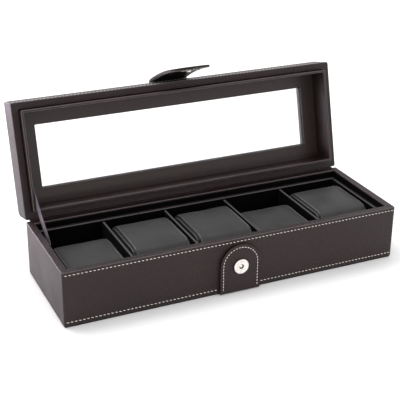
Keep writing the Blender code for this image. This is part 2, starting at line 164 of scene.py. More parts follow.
def leather(name, dark, light, grain, depth, roughness):
    """Embossed leatherette: pebbles between fine creases, with slow changes of colour and gloss."""
    made, tree, shader = new_material(name, Specular_IOR_Level=0.30)
    place = place_coordinates(tree)
    warp = node(tree, "ShaderNodeTexNoise", {"Vector": place, "Scale": grain * 0.6, "Detail": 2.0})
    shift = node(
        tree, "ShaderNodeVectorMath", {0: warp.outputs["Color"], 3: 0.5 / grain}, operation="SCALE"
    )
    bent = node(tree, "ShaderNodeVectorMath", {0: place, 1: shift.outputs[0]}, operation="ADD").outputs[0]
    pebbles = node(
        tree, "ShaderNodeTexVoronoi", {"Vector": bent, "Scale": grain}, feature="DISTANCE_TO_EDGE"
    ).outputs["Distance"]
    creases = remap(tree, pebbles, 0.0, 0.25, 0.0, 1.0)
    pores = speckle(tree, place, grain * 3.5)
    slow = speckle(tree, place, 28.0, 4.0)
    shade = remap(tree, slow, 0.3, 0.7, 0.0, 1.0)
    body = mixed(tree, shade, dark, light)
    # Painted shade: the creases between pebbles are darkened to half the dark colour.
    deep = tuple(channel * 0.5 for channel in dark)
    tree.links.new(mixed(tree, creases, deep, body), shader.inputs["Base Color"])
    gloss = remap(tree, slow, 0.3, 0.7, roughness - 0.05, roughness + 0.06)
    tree.links.new(gloss, shader.inputs["Roughness"])
    bumped(tree, shader, total(tree, creases, pores, 0.35), 0.75, depth)
    return made


EDGE_HIGHLIGHT_GAIN = 26.0  # how much paler than the pale fibres the painted highlight on the velvet's top edges is


def pile(name, deep, pale_fibres, edge_z=None):
    """Velvet or felt: short fibres, near black, with a painted highlight along upward-facing top edges if
    edge_z is given.
    """
    made, tree, shader = new_material(
        name, Roughness=0.95, Specular_IOR_Level=0.04, Sheen_Weight=0.02, Sheen_Roughness=0.4
    )
    place = place_coordinates(tree)
    fibres = speckle(tree, place, 2600.0, 2.0)
    patches = speckle(tree, place, 90.0, 3.0)
    colour = mixed(tree, remap(tree, fibres, 0.35, 0.7, 0.0, 0.5), deep, pale_fibres)
    if edge_z is not None:
        # Painted highlight: upward-facing faces within 0.5 mm below edge_z are mixed to a much paler colour.
        height = node(tree, "ShaderNodeSeparateXYZ", {"Vector": place}).outputs["Z"]
        outward = node(tree, "ShaderNodeNewGeometry").outputs["Normal"]
        facing = node(tree, "ShaderNodeSeparateXYZ", {"Vector": outward})
        near_top = remap(tree, height, edge_z - 0.5 * MM, edge_z, 0.0, 1.0)
        upward = remap(tree, facing.outputs["Z"], 0.3, 0.8, 0.0, 1.0)
        lit_top_edge = node(tree, "ShaderNodeMath", {0: near_top, 1: upward}, operation="MULTIPLY").outputs[0]
        edge_highlight = tuple(channel * EDGE_HIGHLIGHT_GAIN for channel in pale_fibres)
        colour = mixed(tree, lit_top_edge, colour, edge_highlight)
    tree.links.new(colour, shader.inputs["Base Color"])
    bumped(tree, shader, total(tree, fibres, patches, 0.5), 0.5, 0.25 * MM)
    return made


def metal(name, colour, roughness):
    """Plated metal with fine turned marks and light scuffs."""
    made, tree, shader = new_material(name, Metallic=1.0, Specular_IOR_Level=0.5)
    place = place_coordinates(tree)
    marks = speckle(tree, place, 1400.0, 4.0)
    scuffs = speckle(tree, place_coordinates(tree, (1.0, 1.0, 0.2)), 500.0, 3.0)
    dull = tuple(channel * 0.82 for channel in colour)
    scuffed = mixed(tree, remap(tree, scuffs, 0.4, 0.65, 0.0, 1.0), colour, dull)
    tree.links.new(scuffed, shader.inputs["Base Color"])
    gloss = remap(tree, marks, 0.3, 0.7, roughness - 0.05, roughness + 0.1)
    tree.links.new(gloss, shader.inputs["Roughness"])
    bumped(tree, shader, marks, 0.15, 0.02 * MM)
    return made


def make_thread():
    made, tree, shader = new_material("sewing_thread", Roughness=0.7, Sheen_Weight=0.2)
    place = place_coordinates(tree, (1.0, 1.0, 1.0))
    twist = node(
        tree, "ShaderNodeTexWave", {"Vector": place, "Scale": 900.0, "Distortion": 1.5},
        bands_direction="DIAGONAL",
    ).outputs["Fac"]
    slow = speckle(tree, place, 200.0)
    fac = total(tree, remap(tree, slow, 0.3, 0.7, 0.0, 0.4), twist, 0.5)
    tree.links.new(mixed(tree, fac, (0.70, 0.66, 0.60), (0.93, 0.91, 0.86)), shader.inputs["Base Color"])
    bumped(tree, shader, twist, 0.4, 0.05 * MM)
    return made


def make_cushion_cloth(name, dark, light, gloss, painted_side_shade=False):
    """Smooth cushion cloth with a very fine nap. With painted side shade, the end panels and seam bands are
    painted near black.
    """
    made, tree, shader = new_material(
        name, Specular_IOR_Level=gloss, Sheen_Weight=0.06, Sheen_Roughness=0.45
    )
    place = place_coordinates(tree)
    nap = speckle(tree, place, 3000.0, 2.0)
    slow = speckle(tree, place, 45.0, 3.0)
    colour = mixed(tree, remap(tree, slow, 0.3, 0.7, 0.0, 1.0), dark, light)
    if painted_side_shade:
        # Painted shade: from each cushion's outer seam out to its end the colour goes near black.
        across = node(tree, "ShaderNodeSeparateXYZ", {"Vector": place}).outputs["X"]
        wrapped = node(
            tree, "ShaderNodeMath", {0: across, 1: CUSHION_PITCH / 2, 2: -CUSHION_PITCH / 2}, operation="WRAP"
        ).outputs[0]
        off_middle = node(tree, "ShaderNodeMath", {0: wrapped}, operation="ABSOLUTE").outputs[0]
        outer = CUSHION_HALF - SEAMS[1]
        side_shade = remap(tree, off_middle, outer - 0.3 * MM, outer + 0.3 * MM, 0.0, 1.0)
        colour = mixed(tree, side_shade, colour, CLOTH_SIDE_SHADE)
    tree.links.new(colour, shader.inputs["Base Color"])
    tree.links.new(remap(tree, slow, 0.3, 0.7, 0.46, 0.58), shader.inputs["Roughness"])
    bumped(tree, shader, nap, 0.3, 0.06 * MM)
    return made


def make_glass():
    """Clear pane: mostly seen through, with a soft gloss and faint smears."""
    made, tree, shader = new_material("window_clear", Base_Color=(0.97, 0.98, 0.98, 1), Alpha=0.06, IOR=1.49)
    smears = speckle(tree, place_coordinates(tree, (1.0, 2.5, 1.0)), 24.0, 4.0)
    tree.links.new(remap(tree, smears, 0.35, 0.75, 0.02, 0.10), shader.inputs["Roughness"])
    tint = mixed(tree, smears, (0.93, 0.95, 0.96), (1.0, 1.0, 1.0))
    tree.links.new(tint, shader.inputs["Base Color"])
    return made


def make_satin():
    """Satin ribbon: crossed fine threads with a sheen along its length."""
    made, tree, shader = new_material(
        "ribbon_satin", Sheen_Weight=0.2, Sheen_Roughness=0.3, Specular_IOR_Level=0.6
    )
    place = place_coordinates(tree)
    across = node(
        tree, "ShaderNodeTexWave", {"Vector": place, "Scale": 700.0, "Distortion": 0.4}, bands_direction="Z"
    ).outputs["Fac"]
    along = node(
        tree, "ShaderNodeTexWave", {"Vector": place, "Scale": 1100.0, "Distortion": 0.4}, bands_direction="Y"
    ).outputs["Fac"]
    weave = total(tree, across, along, 0.6)
    colour = mixed(tree, remap(tree, weave, 0.2, 1.4, 0.0, 1.0), (0.045, 0.034, 0.045), (0.12, 0.094, 0.12))
    tree.links.new(colour, shader.inputs["Base Color"])
    tree.links.new(remap(tree, weave, 0.2, 1.4, 0.32, 0.5), shader.inputs["Roughness"])
    bumped(tree, shader, weave, 0.35, 0.04 * MM)
    return made


def make_fibreboard(name, dark, light):
    made, tree, shader = new_material(name, Roughness=0.85)
    place = place_coordinates(tree)
    chips = speckle(tree, place, 900.0, 5.0, 0.7)
    tree.links.new(mixed(tree, chips, dark, light), shader.inputs["Base Color"])
    bumped(tree, shader, chips, 0.4, 0.1 * MM)
    return made


def make_floor_material():
    made, tree, shader = new_material("studio_floor", Roughness=0.9, Specular_IOR_Level=0.1)
    place = place_coordinates(tree)
    colour = mixed(tree, speckle(tree, place, 3.0), (0.93, 0.93, 0.93), (0.96, 0.96, 0.96))
    tree.links.new(colour, shader.inputs["Base Color"])
    return made


CLOTH_DARK = (0.020, 0.0195, 0.0198)
CLOTH_LIGHT = (0.033, 0.032, 0.0325)
# Painted shade for the cushions' end panels and seam bands.
CLOTH_SIDE_SHADE = (0.0022, 0.0020, 0.0021)
# Painted highlight: the piping is painted about three times paler than the cloth, for light lines along the
# seams.
PIPING_DARK = (0.055, 0.053, 0.054)
PIPING_LIGHT = (0.11, 0.106, 0.108)
CUSHION_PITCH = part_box("cushion_3")[0].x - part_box("cushion_2")[0].x
CUSHION_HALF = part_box("cushion_3")[1].x
SEAMS = (1.3 * MM, 3.9 * MM)  # how far in from a cushion's end its two seams are
PIPING_RADIUS = 0.42 * MM

LEATHERETTE = leather(
    "leatherette_grain", (0.019, 0.0086, 0.0086), (0.029, 0.0136, 0.0134), 850.0, 0.28 * MM, 0.40
)
LINING = leather(
    "leatherette_lining", (0.023, 0.0120, 0.0108), (0.037, 0.0205, 0.0185), 1500.0, 0.06 * MM, 0.38
)
# Painted highlight: a much paler leatherette for rim and lip roundings, standing in for light caught on those
# edges.
LEATHER_HIGHLIGHT = leather("leatherette_painted_highlight", (0.090, 0.072, 0.078), (0.160, 0.132, 0.140), 1100.0, 0.10 * MM, 0.34)
STRAP_LINING = leather(
    "leatherette_black", (0.006, 0.0035, 0.0034), (0.011, 0.0065, 0.0060), 1500.0, 0.06 * MM, 0.34
)
EDGE_PAINT = leather("edge_paint", (0.003, 0.002, 0.002), (0.006, 0.004, 0.004), 2500.0, 0.03 * MM, 0.55)
VELVET_DEEP = pile("velvet_wall", (0.0008, 0.0008, 0.0008), (0.0025, 0.0024, 0.0025))
# The insert's velvet gets a painted highlight along its top edges at 43.7 mm.
VELVET = pile("velvet_pile", (0.0008, 0.0008, 0.0008), (0.0032, 0.0030, 0.0031), edge_z=43.7 * MM)
FELT = pile("felt_pile", (0.010, 0.010, 0.011), (0.030, 0.030, 0.032))
CLOTH = make_cushion_cloth("cushion_cloth_fine", CLOTH_DARK, CLOTH_LIGHT, 0.35, painted_side_shade=True)
PIPING = make_cushion_cloth("cushion_piping", PIPING_DARK, PIPING_LIGHT, 0.8)
GLASS = make_glass()
NICKEL = metal("nickel_plate", (0.84, 0.80, 0.76), 0.30)
MAGNET = metal("ferrite_ring", (0.03, 0.03, 0.033), 0.5)
SATIN = make_satin()
THREAD = make_thread()
FIBREBOARD = make_fibreboard("fibreboard_raw", (0.26, 0.17, 0.10), (0.46, 0.33, 0.21))
STAINED = make_fibreboard("fibreboard_stained", (0.006, 0.005, 0.005), (0.018, 0.014, 0.013))


# ---------------------------------------------------------------- mesh helpers


def finished(bm, name, sharp=38.0):
    """A mesh from bm, shaded smooth but across edges sharper than the given angle."""
    bmesh.ops.recalc_face_normals(bm, faces=bm.faces)
    limit = math.radians(sharp)
    for face in bm.faces:
        face.smooth = True
    for edge in bm.edges:
        edge.smooth = len(edge.link_faces) == 2 and edge.calc_face_angle(0.0) < limit
    mesh = bpy.data.meshes.new(name)
    bm.to_mesh(mesh)
    bm.free()
    return mesh


def piece(mesh, material, body, replaces=(), turned_by=None):
    """Adds a mesh to the object. With body None it is left unattached, and the caller bakes its transform."""
    if turned_by is not None:
        mesh.transform(turned_by)
    mesh.materials.append(material)
    obj = bpy.data.objects.new(mesh.name, mesh)
    scene.collection.objects.link(obj)
    if body is not None:
        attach(obj, body)
    if replaces:
        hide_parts(*replaces)
    return obj


def loft(name, loops, ring=False, sharp=38.0):
    """Skins closed loops of equal length. ring joins the last to the first; if not, both ends are capped."""
    bm = bmesh.new()
    rows = [[bm.verts.new(point) for point in loop] for loop in loops]
    pairs = list(zip(rows, rows[1:])) + ([(rows[-1], rows[0])] if ring else [])
    for a, b in pairs:
        for i in range(len(a)):
            j = (i + 1) % len(a)
            bm.faces.new((a[i], a[j], b[j], b[i]))
    if not ring:
        bm.faces.new(rows[0])
        bm.faces.new(rows[-1])
    return finished(bm, name, sharp)


def round_rect(low, high, radius, z, steps=6):
    """A rectangle with round corners at height z, low and high being its (x, y) corners."""
    loop = []
    corners = (
        (high[0] - radius, low[1] + radius), (high[0] - radius, high[1] - radius),
        (low[0] + radius, high[1] - radius), (low[0] + radius, low[1] + radius),
    )
    for quarter, (x, y) in enumerate(corners):
        for step in range(steps + 1):
            angle = math.radians(90 * (quarter - 1 + step / steps))
            loop.append(Vector((x + radius * math.cos(angle), y + radius * math.sin(angle), z)))
    return loop


def quarter_turn(steps):
    """(sine, cosine) from 0 to 90 degrees."""
    angles = [math.pi / 2 * step / steps for step in range(steps + 1)]
    return [(math.sin(angle), math.cos(angle)) for angle in angles]


def thread_row(name, path, normal_of, pitch, dash=0.66, width=0.64 * MM, height=0.5 * MM):
    """One mesh of separate stitches along a path, each a bowed bead that dives into the leather at its ends.

    path is a list of points; normal_of gives the surface's outward direction at a point.
    """
    lengths = [0.0]
    for a, b in zip(path, path[1:]):
        lengths.append(lengths[-1] + (b - a).length)

    def at(distance):
        for i in range(1, len(path)):
            if distance <= lengths[i] or i == len(path) - 1:
                share = (distance - lengths[i - 1]) / (lengths[i] - lengths[i - 1])
                return path[i - 1].lerp(path[i], share)

    count = max(1, round(lengths[-1] / pitch))
    step = lengths[-1] / count
    draw = random.Random(name)
    bm = bmesh.new()
    rings, sides = 5, 6
    for index in range(count):
        middle = (index + 0.5) * step
        half = step * dash / 2
        start, end = at(middle - half), at(middle + half)
        centre = at(middle)
        along = (end - start).normalized()
        up = normal_of(centre).normalized()
        side = along.cross(up).normalized()
        slant = side * draw.uniform(0.05, 0.14) * MM
        rows = []
        for ring in range(rings):
            t = -1 + 2 * ring / (rings - 1)
            bow = 1 - t * t
            spot = centre + along * (t * half) + slant * t + up * (0.5 * height * (bow - 0.55))
            swell = math.sqrt(max(0.0, 1 - 0.8 * t * t))
            row = []
            for i in range(sides):
                angle = 2 * math.pi * i / sides
                offset = side * (math.cos(angle) * width / 2) + up * (math.sin(angle) * height / 2)
                row.append(bm.verts.new(spot + offset * swell))
            rows.append(row)
        for a, b in zip(rows, rows[1:]):
            for i in range(sides):
                j = (i + 1) % sides
                bm.faces.new((a[i], a[j], b[j], b[i]))
        bm.faces.new(rows[0])
        bm.faces.new(rows[-1])
    return finished(bm, name, 75.0)


def lathe(name, profile, centre, steps=56, sharp=38.0):
    """A closed profile of (radius, height) turned about the axis that points to -Y."""
    loops = []
    for step in range(steps):
        angle = 2 * math.pi * step / steps
        loops.append([
            centre + Vector((radius * math.cos(angle), -height, radius * math.sin(angle)))
            for radius, height in profile
        ])
    return loft(name, loops, ring=True, sharp=sharp)


def fillet(centre, radius, start, end, steps=5):
    """(radius, height) points of an arc, angles in degrees."""
    angles = [math.radians(start + (end - start) * i / steps) for i in range(steps + 1)]
    return [(centre[0] + radius * math.cos(a), centre[1] + radius * math.sin(a)) for a in angles]


def faces_where(mesh, holds):
    """The numbers of the faces for which holds(centre, normal) is true."""
    return [face.index for face in mesh.polygons if holds(face.center, face.normal)]


def second_material(obj, faces, material):
    """Gives some of a piece's faces another material."""
    obj.data.materials.append(material)
    for index in faces:
        obj.data.polygons[index].material_index = 1


def bevelled(name, width, segments=3, angle=40.0):
    """Softens a CAD node's edges."""
    modifier = frame["nodes"][name].modifiers.new("Soft edges", "BEVEL")
    modifier.width = width
    modifier.segments = segments
    modifier.limit_method = "ANGLE"
    modifier.angle_limit = math.radians(angle)


def dressed(name, material):
    """Gives a CAD node its material, and joins its separate triangles so that its edges can be softened."""
    weld = frame["nodes"][name].modifiers.new("Joined", "WELD")
    weld.merge_threshold = 0.01 * MM
    mesh = frame["nodes"][name].data
    mesh.materials.clear()
    mesh.materials.append(material)


# ---------------------------------------------------------------- base

base_low, base_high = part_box("left_cover")
HALF_L = -base_low.x
HALF_W = base_high.y
RIM = base_high.z
FOOT = base_low.z


def inset_loop(inset, z, corner):
    """A loop round the base or lid, inset from its outer size."""
    x, y = HALF_L - inset, HALF_W - inset
    return round_rect((-x, -y), (x, y), max(0.25 * MM, corner), z)


def make_base_skin():
    fold = RIM - FOLD_DEPTH
    r = RIM_ROUNDING
    loops = [inset_loop(SKIN, FOOT, CORNER - SKIN)]
    for sine, cosine in quarter_turn(3):
        turn = 0.7 * MM
        loops.append(inset_loop(turn * (1 - sine), FOOT + turn * (1 - cosine), CORNER))
    for share in (0.25, 0.5, 0.75):
        loops.append(inset_loop(0, FOOT + (RIM - FOOT) * share, CORNER))
    for sine, cosine in quarter_turn(5):
        loops.append(inset_loop(r * (1 - cosine), RIM - r * (1 - sine), CORNER))
    for sine, cosine in quarter_turn(5):
        loops.append(inset_loop(WALL - r * (1 - sine), RIM - r * (1 - cosine), 0.4 * MM))
    loops.append(inset_loop(WALL, fold, 0.3 * MM))
    loops.append(inset_loop(WALL - SKIN, fold, 0.3 * MM))
    loops.append(inset_loop(WALL - SKIN, RIM - SKIN, 0.3 * MM))
    loops.append(inset_loop(SKIN, RIM - SKIN, CORNER - SKIN))
    mesh = loft("base_leatherette", loops, ring=True)
    # Painted highlight: the upward-facing faces of the rim's rounding get the paler highlight leatherette.
    highlight_faces = faces_where(mesh, lambda spot, normal: spot.z > RIM - r and 0.45 < normal.z < 0.95)
    skin = piece(
        mesh, LEATHERETTE, "base",
        ("front_cover", "back_cover", "left_cover", "right_cover"),
    )
    second_material(skin, highlight_faces, LEATHER_HIGHLIGHT)


def make_wall_velvet():
    """The thin velvet on the inside of the walls, from under the insert's edge to just below the rim."""
    low, high = RIM - 7 * MM, RIM - 1.6 * MM
    back, face, corner = WALL - 0.1 * MM, WALL + 0.12 * MM, 0.3 * MM
    loops = [inset_loop(back, low, corner), inset_loop(back, high, corner)]
    loops += [inset_loop(face, high - 0.05 * MM, corner), inset_loop(face, low, corner)]
    piece(loft("wall_velvet", loops, ring=True), VELVET_DEEP, "base")


def straight(a, b, steps=2):
    return [a.lerp(b, i / steps) for i in range(steps + 1)]


def make_base_stitches():
    front = Vector((0, -1, 0))
    face = -HALF_W
    edge = HALF_L - 1.5 * MM
    top, bottom = RIM - 3.0 * MM, FOOT + 4.0 * MM
    gap = 21.4 * MM
    rows = {
        "stitches_top": (-edge, edge, top),
        "stitches_bottom_left": (-edge, -gap, bottom),
        "stitches_bottom_right": (gap, edge, bottom),
    }
    for name, (start, end, z) in rows.items():
        path = straight(Vector((start, face, z)), Vector((end, face, z)))
        piece(thread_row(name, path, lambda point: front, 3.65 * MM), THREAD, "base")


def tongue_loop(inset, y, straight_steps=6, round_steps=28):
    """The tongue's outline, inset all round, at depth y."""
    low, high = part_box("tongue_leather")
    radius = high.x
    centre_z = high.z - radius
    foot = low.z + inset
    r = radius - inset
    loop = [Vector((-r, y, foot))]
    loop += [Vector((r, y, foot + (centre_z - foot) * i / straight_steps)) for i in range(straight_steps)]
    for i in range(round_steps + 1):
        angle = math.pi * i / round_steps
        loop.append(Vector((r * math.cos(angle), y, centre_z + r * math.sin(angle))))
    for i in range(1, straight_steps):
        loop.append(Vector((-r, y, centre_z + (foot - centre_z) * i / straight_steps)))
    return loop


def make_tongue():
    low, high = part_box("tongue_leather")
    back, face = high.y, low.y
    r = 0.55 * MM
    loops = [tongue_loop(0.5 * MM, back)]
    loops.append(tongue_loop(0, back - 0.35 * MM))
    for sine, cosine in quarter_turn(4):
        loops.append(tongue_loop(r * (1 - cosine), face + r * (1 - sine)))
    loops.append(tongue_loop(2.4 * MM, face + 0.02 * MM))
    loops.append(tongue_loop(3.0 * MM, face + 0.16 * MM))
    loops.append(tongue_loop(3.7 * MM, face + 0.04 * MM))
    loops.append(tongue_loop(6.0 * MM, face))
    mesh = loft("tongue_face", loops)
    cut_edge = faces_where(mesh, lambda spot, normal: -normal.y < 0.25)
    leaf = piece(mesh, LEATHERETTE, "base", ("tongue_leather",))
    second_material(leaf, cut_edge, EDGE_PAINT)
    low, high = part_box("tongue_backing")
    loops = [tongue_loop(0.9 * MM, high.y), tongue_loop(0.6 * MM, high.y - 0.3 * MM)]
    loops += [tongue_loop(0.6 * MM, low.y + 0.3 * MM), tongue_loop(0.9 * MM, low.y)]
    piece(loft("tongue_lining", loops), EDGE_PAINT, "base", ("tongue_backing", "snap_washer"))
    path = tongue_loop(3.0 * MM, face + 0.10 * MM)[1:]
    path.append(tongue_loop(3.0 * MM, face + 0.10 * MM)[0])
    normal = Vector((0, -1, 0))
    mesh = thread_row("stitches_tongue", path, lambda point: normal, 3.0 * MM, width=0.66 * MM)
    piece(mesh, THREAD, "base")


def make_snap():
    low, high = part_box("snap_socket")
    foot = Vector((0, high.y, SNAP_Z))
    radius, depth = high.x - 0.7 * MM, high.y - low.y
    hole = 2.2 * MM
    profile = [(radius - 0.5 * MM, 0.0), (radius - 0.1 * MM, 0.0), (radius, 0.3 * MM)]
    profile += fillet((radius - 0.9 * MM, depth - 0.9 * MM), 0.9 * MM, 0, 80)
    profile += [(5.2 * MM, depth - 0.05 * MM), (4.6 * MM, depth - 0.18 * MM), (4.0 * MM, depth - 0.16 * MM)]
    profile += [(3.6 * MM, depth - 0.04 * MM)]
    profile += fillet((hole + 0.5 * MM, depth - 0.5 * MM), 0.5 * MM, 80, 180, 4)
    inside = radius - 0.6 * MM
    profile += [(hole, depth - 0.7 * MM), (inside, depth - 0.7 * MM), (inside, 0.1 * MM)]
    piece(lathe("snap_cup", profile, foot, sharp=50), NICKEL, "base", ("snap_socket",))
    outer, inner, top = hole + 0.6 * MM, hole + 0.05 * MM, depth - 0.8 * MM
    ring = [(outer, 0.1 * MM), (outer, top), (inner, top)]
    ring += [(inner, 0.25 * MM), (1.5 * MM, 0.25 * MM), (1.5 * MM, 0.1 * MM)]
    piece(lathe("snap_magnet_ring", ring, foot, sharp=50), MAGNET, "base", ("snap_magnet",))
    pin = [(0.05 * MM, 0.1 * MM), (1.45 * MM, 0.1 * MM), (1.45 * MM, 0.55 * MM)]
    pin += [(1.2 * MM, 0.75 * MM), (0.05 * MM, 0.75 * MM)]
    piece(lathe("snap_back_plate", pin, foot, sharp=50), NICKEL, "base")


# ---------------------------------------------------------------- insert


def make_insert():
    liners = ["floor_liner", "front_liner", "back_liner", "left_liner", "right_liner"]
    dividers = [f"divider_{i}" for i in range(1, 5)]
    for name in liners + dividers:
        dressed(name, VELVET)
    for name in liners[1:] + dividers:
        bevelled(name, 0.7 * MM)


# ---------------------------------------------------------------- cushions


def cushion_start(name, low, high):
    """A rounded block a little smaller than the cushion, ready to be inflated."""
    size = (high - low) * 0.93
    centre = (low + high) / 2
    loops = []
    rounding = Vector((0, 13 * MM, 11 * MM))
    steps = 8
    for end in (-1, -0.96, -0.5, 0, 0.5, 0.96, 1):
        shrink = 0.95 if abs(end) == 1 else 1.0
        half_y, half_z = size.y / 2 * shrink, size.z / 2 * shrink
        loop = []
        for quarter, (sy, sz) in enumerate(((1, -1), (1, 1), (-1, 1), (-1, -1))):
            ry = rounding.y * (1.0 if sz > 0 else 0.45)
            rz = rounding.z * (1.0 if sz > 0 else 0.45)
            for step in range(steps + 1):
                angle = math.radians(90 * (quarter - 1 + step / steps))
                y = sy * (half_y - ry) + ry * math.cos(angle)
                z = sz * (half_z - rz) + rz * math.sin(angle)
                loop.append(centre + Vector((end * size.x / 2, y, z)))
        loops.append(loop)
    return loft(name, loops)


def inflate(obj, cap):
    """Blows the cushion up as cloth, then keeps each point within cap of where it started."""
    remesh = obj.modifiers.new("Remesh", "REMESH")
    remesh.mode = "VOXEL"
    remesh.voxel_size = 4.0 * MM
    graph = bpy.context.evaluated_depsgraph_get()
    mesh = bpy.data.meshes.new_from_object(obj.evaluated_get(graph))
    obj.modifiers.clear()
    old = obj.data
    obj.data = mesh
    bpy.data.meshes.remove(old)
    start = [vert.co.copy() for vert in mesh.vertices]
    cloth = obj.modifiers.new("Cloth", "CLOTH")
    cloth.settings.use_pressure = True
    cloth.settings.uniform_pressure_force = 4.0
    cloth.settings.effector_weights.gravity = 0.0
    cloth.settings.quality = 5
    cloth.point_cache.frame_start = 1
    cloth.point_cache.frame_end = 20
    for number in range(1, 21):
        scene.frame_set(number)
    graph = bpy.context.evaluated_depsgraph_get()
    swollen = obj.evaluated_get(graph).data
    moved = [vert.co.copy() for vert in swollen.vertices]
    obj.modifiers.clear()
    scene.frame_set(1)
    for vert, before, after in zip(mesh.vertices, start, moved):
        step = after - before
        vert.co = before + step * min(1.0, cap / max(step.length, 1e-9))


def fitted(mesh, low, high):
    """Scales a mesh into a box."""
    points = [vert.co for vert in mesh.vertices]
    small, large = Vector(map(min, zip(*points))), Vector(map(max, zip(*points)))
    for vert in mesh.vertices:
        for axis in range(3):
            share = (vert.co[axis] - small[axis]) / (large[axis] - small[axis])
            vert.co[axis] = low[axis] + share * (high[axis] - low[axis])


def ring_round(mesh, x):
    """The mesh's section at x, as an ordered loop of points."""
    bm = bmesh.new()
    bm.from_mesh(mesh)
    cut = bmesh.ops.bisect_plane(
        bm, geom=bm.verts[:] + bm.edges[:] + bm.faces[:], plane_co=(x, 0, 0), plane_no=(1, 0, 0)
    )
    points = [item.co.copy() for item in cut["geom_cut"] if isinstance(item, bmesh.types.BMVert)]
    bm.free()
    middle = sum(points, Vector()) / len(points)
    points.sort(key=lambda point: math.atan2(point.z - middle.z, point.y - middle.y))
    return points, middle


def even_loop(points, count):
    """A closed loop resampled to count points an equal distance apart."""
    closed = points + [points[0]]
    lengths = [0.0]
    for a, b in zip(closed, closed[1:]):
        lengths.append(lengths[-1] + (b - a).length)
    made, i = [], 1
    for k in range(count):
        distance = lengths[-1] * k / count
        while lengths[i] < distance:
            i += 1
        share = (distance - lengths[i - 1]) / max(lengths[i] - lengths[i - 1], 1e-9)
        made.append(closed[i - 1].lerp(closed[i], share))
    return made


def smoothed(points, rounds=3):
    """A closed loop with each point eased towards its neighbours."""
    for _ in range(rounds):
        points = [
            points[i] * 0.5 + (points[i - 1] + points[(i + 1) % len(points)]) * 0.25
            for i in range(len(points))
        ]
    return points


def piping(name, mesh, x, radius):
    """A round cord sewn into a cushion's seam at x."""
    points, middle = ring_round(mesh, x)
    points = smoothed(even_loop(points, 72))
    side = Vector((1, 0, 0))
    loops = []
    for i, point in enumerate(points):
        along = (points[(i + 1) % len(points)] - points[i - 1]).normalized()
        out = along.cross(side).normalized()
        if out.dot(point - middle) < 0:
            out = -out
        spot = point + out * radius * 0.25
        loops.append([
            spot + (out * math.cos(2 * math.pi * k / 8) + side * math.sin(2 * math.pi * k / 8)) * radius
            for k in range(8)
        ])
    return loft(name, loops, ring=True, sharp=80)


def make_cushion(number):
    node_name = f"cushion_{number}"
    low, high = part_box(node_name)
    proud = Vector((0.35 * MM, 0.35 * MM, 0.35 * MM))
    low, high = low + proud, high - proud
    mesh = cushion_start(f"watch_cushion_{number}_cover", low, high)
    obj = bpy.data.objects.new(mesh.name, mesh)
    scene.collection.objects.link(obj)
    inflate(obj, 5 * MM)
    mesh = obj.data
    mesh.name = obj.name
    centre = (low + high) / 2
    half = (high - low) / 2
    draw = random.Random(100 + number)
    offset = Vector((draw.uniform(-1, 1), draw.uniform(-1, 1), draw.uniform(-1, 1))) * 10
    fitted(mesh, low, high)
    bm = bmesh.new()
    bm.from_mesh(mesh)
    bmesh.ops.subdivide_edges(bm, edges=bm.edges[:], cuts=1, use_grid_fill=True, smooth=1.0)
    for face in bm.faces:
        face.smooth = True
    bm.to_mesh(mesh)
    bm.free()
    seams = [half.x - inset for inset in SEAMS]
    for vert in mesh.vertices:
        local = vert.co - centre
        pull = sum(math.exp(-(((abs(local.x) - seam) / (1.2 * MM)) ** 2)) for seam in seams)
        dimple = noise.noise(vert.co * 55 + offset) * 0.35 * MM
        radial = Vector((0, local.y, local.z)).normalized()
        vert.co -= radial * (0.35 * MM * pull + dimple)
        floor = low.z
        if vert.co.z < floor + 0.3 * MM:
            vert.co.z = floor + 0.3 * MM
    fitted(mesh, low, high)
    mesh.materials.append(CLOTH)
    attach(obj, f"watch_cushion_{number}")
    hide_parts(node_name)
    for index, seam in enumerate(seams):
        for side, sign in (("left", -1), ("right", 1)):
            name = f"cushion_{number}_piping_{side}_{index + 1}"
            tube = piping(name, mesh, centre.x + sign * seam, PIPING_RADIUS)
            piece(tube, PIPING, f"watch_cushion_{number}")


# ---------------------------------------------------------------- lid


def lid_loop(z, offset, corner=CORNER):
    """A level loop round the lid, offset inwards from its surface."""
    def side(radius):
        rise = z - (LID_TOP - radius)
        if rise <= 0:
            return offset
        return radius - math.sqrt(max(0.0, (radius - offset) ** 2 - rise * rise))

    front, back = side(FRONT_RADIUS), side(BACK_RADIUS)
    x = HALF_L - front
    return round_rect((-x, -HALF_W + front), (x, HALF_W - back), max(0.25 * MM, corner), z)


def window_loop(inset, z, corner=1.0 * MM):
    x, y = WINDOW.x + inset, WINDOW.y + inset
    return round_rect((-x, -y), (x, y), max(0.25 * MM, corner), z)


